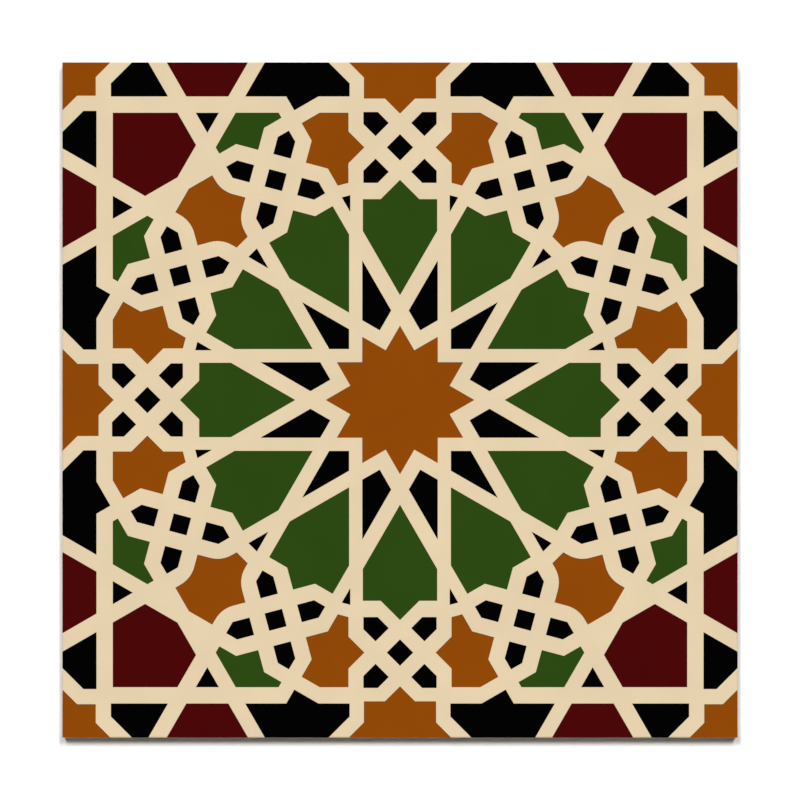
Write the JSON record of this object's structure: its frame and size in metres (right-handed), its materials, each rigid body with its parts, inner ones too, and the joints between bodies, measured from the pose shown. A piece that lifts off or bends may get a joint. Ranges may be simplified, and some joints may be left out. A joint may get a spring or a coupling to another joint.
{
  "type": "star pattern tile",
  "caption": "Square glazed ceramic wall tile with traditional interlaced star strapwork in low relief, keyed back and bevelled sides.",
  "frame": {"origin": "centre of the back, on the plane that the back ribs rest on", "axes": "+Z out of the glazed face, +X and +Y along the sides of the square"},
  "size_m": [0.1524, 0.1524, 0.008],
  "materials": {
    "glaze_cream": "glossy cream glaze of the bands",
    "glaze_brown": "glossy brown glaze",
    "glaze_green": "glossy dark green glaze",
    "glaze_maroon": "glossy dark red glaze",
    "glaze_black": "glossy black glaze",
    "bisque": "matt unglazed fired body"
  },
  "bodies": {
    "root": {"tile": "glaze_cream"}
  },
  "joints": []
}
